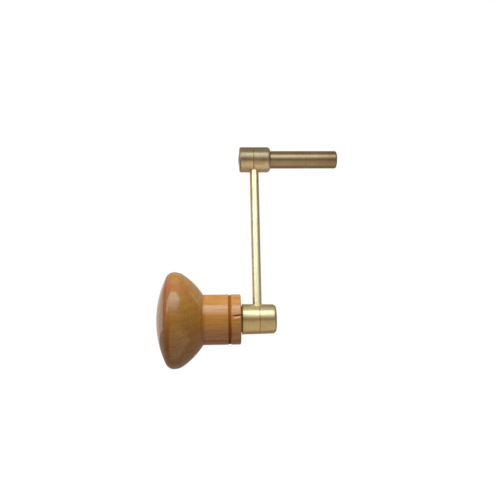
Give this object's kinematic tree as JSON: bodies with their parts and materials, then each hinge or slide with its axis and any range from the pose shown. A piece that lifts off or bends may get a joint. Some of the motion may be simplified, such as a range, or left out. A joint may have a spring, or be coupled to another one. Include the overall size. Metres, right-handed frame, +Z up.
{
  "type": "clock winding crank",
  "caption": "Hand crank for winding a clock: a brass tube with a square socket, a round brass arm and a turned wooden knob that spins freely on its spindle.",
  "frame": {"origin": "centre of the square socket's mouth, on the winding tube's axis", "axes": "+X out of the socket's mouth along the tube; +Z up, from the knob's axis to the tube's; the arm hangs along -Z"},
  "size_m": [0.0804, 0.0408, 0.0986],
  "materials": {
    "tube_brass": "turned and slightly tarnished",
    "arm_brass": "bright satin",
    "spindle_steel": "turned",
    "washer_fibre": "dark vulcanised fibre, matte",
    "knob_wood": "stained amber and gloss lacquered"
  },
  "bodies": {
    "crank": {"winding_tube": "tube_brass", "tube_boss": "tube_brass", "crank_arm": "arm_brass", "handle_boss": "arm_brass", "handle_spindle": "spindle_steel", "thrust_washer": "washer_fibre", "head_washer": "arm_brass"},
    "knob": {"knob": "knob_wood", "knob_bush": "arm_brass", "knob_plug": "knob_wood"}
  },
  "joints": [
    {"name": "knob_spin", "type": "hinge", "parent": "crank", "child": "knob", "pos_m": [-0.0448, 0, -0.0725], "axis": [1, 0, 0], "continuous": true}
  ]
}
